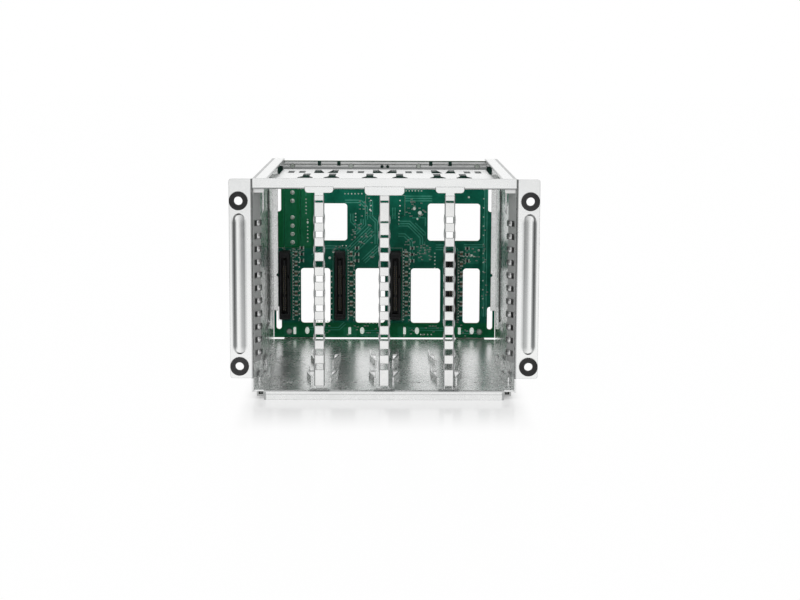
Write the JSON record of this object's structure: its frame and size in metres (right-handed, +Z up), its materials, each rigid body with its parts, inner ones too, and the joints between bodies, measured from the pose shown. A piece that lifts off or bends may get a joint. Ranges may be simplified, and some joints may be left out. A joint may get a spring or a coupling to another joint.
{
  "type": "hot swap drive cage",
  "caption": "Sheet-metal hot swap drive cage with bays on edge, sprung front posts, grommeted ears and a backplane.",
  "frame": {"origin": "centre of the outline in plan, on the surface that the cage rests on", "axes": "+Z up, -Y out of the open front where drives go in, +Y towards the backplane, +X to the right seen from the front"},
  "size_m": [0.172, 0.1948, 0.1243],
  "materials": {
    "zinc_steel": "zinc plated sheet steel",
    "zinc_hardware": "bright zinc plated screws, nuts and rivets",
    "spring_steel": "bright spring steel",
    "board_green": "green solder mask over glass fibre board",
    "socket_black": "black moulded connector plastic",
    "header_white": "natural nylon",
    "socket_shell": "plated connector shell",
    "solder": "tinned pins and solder",
    "light_lens": "clear and white lens of an unlit status light",
    "chip_tan": "ceramic with tinned ends",
    "chip_black": "black epoxy with tinned ends",
    "rubber_black": "matt black rubber"
  },
  "bodies": {
    "root": {"base_pan": "zinc_steel", "left_side_plate": "zinc_steel", "right_side_plate": "zinc_steel", "ceiling_panel": "zinc_steel", "rear_bridge": "zinc_steel", "skid_strips": "zinc_steel", "left_post": "zinc_steel", "centre_post": "zinc_steel", "right_post": "zinc_steel", "left_post_spring": "spring_steel", "centre_post_spring": "spring_steel", "right_post_spring": "spring_steel", "left_wall_spring": "spring_steel", "right_wall_spring": "spring_steel", "backplane_board": "board_green", "drive_socket_1": "socket_black", "drive_socket_2": "socket_black", "drive_socket_3": "socket_black", "drive_socket_4": "socket_black", "power_header": "header_white", "power_pins": "solder", "data_socket": "socket_shell", "status_lights": "light_lens", "ceramic_capacitors": "chip_tan", "resistor_arrays": "chip_black", "board_screws": "zinc_hardware", "press_nuts": "zinc_hardware", "rivets": "zinc_hardware", "lower_left_grommet": "rubber_black", "lower_right_grommet": "rubber_black", "upper_left_grommet": "rubber_black", "upper_right_grommet": "rubber_black"}
  },
  "joints": []
}
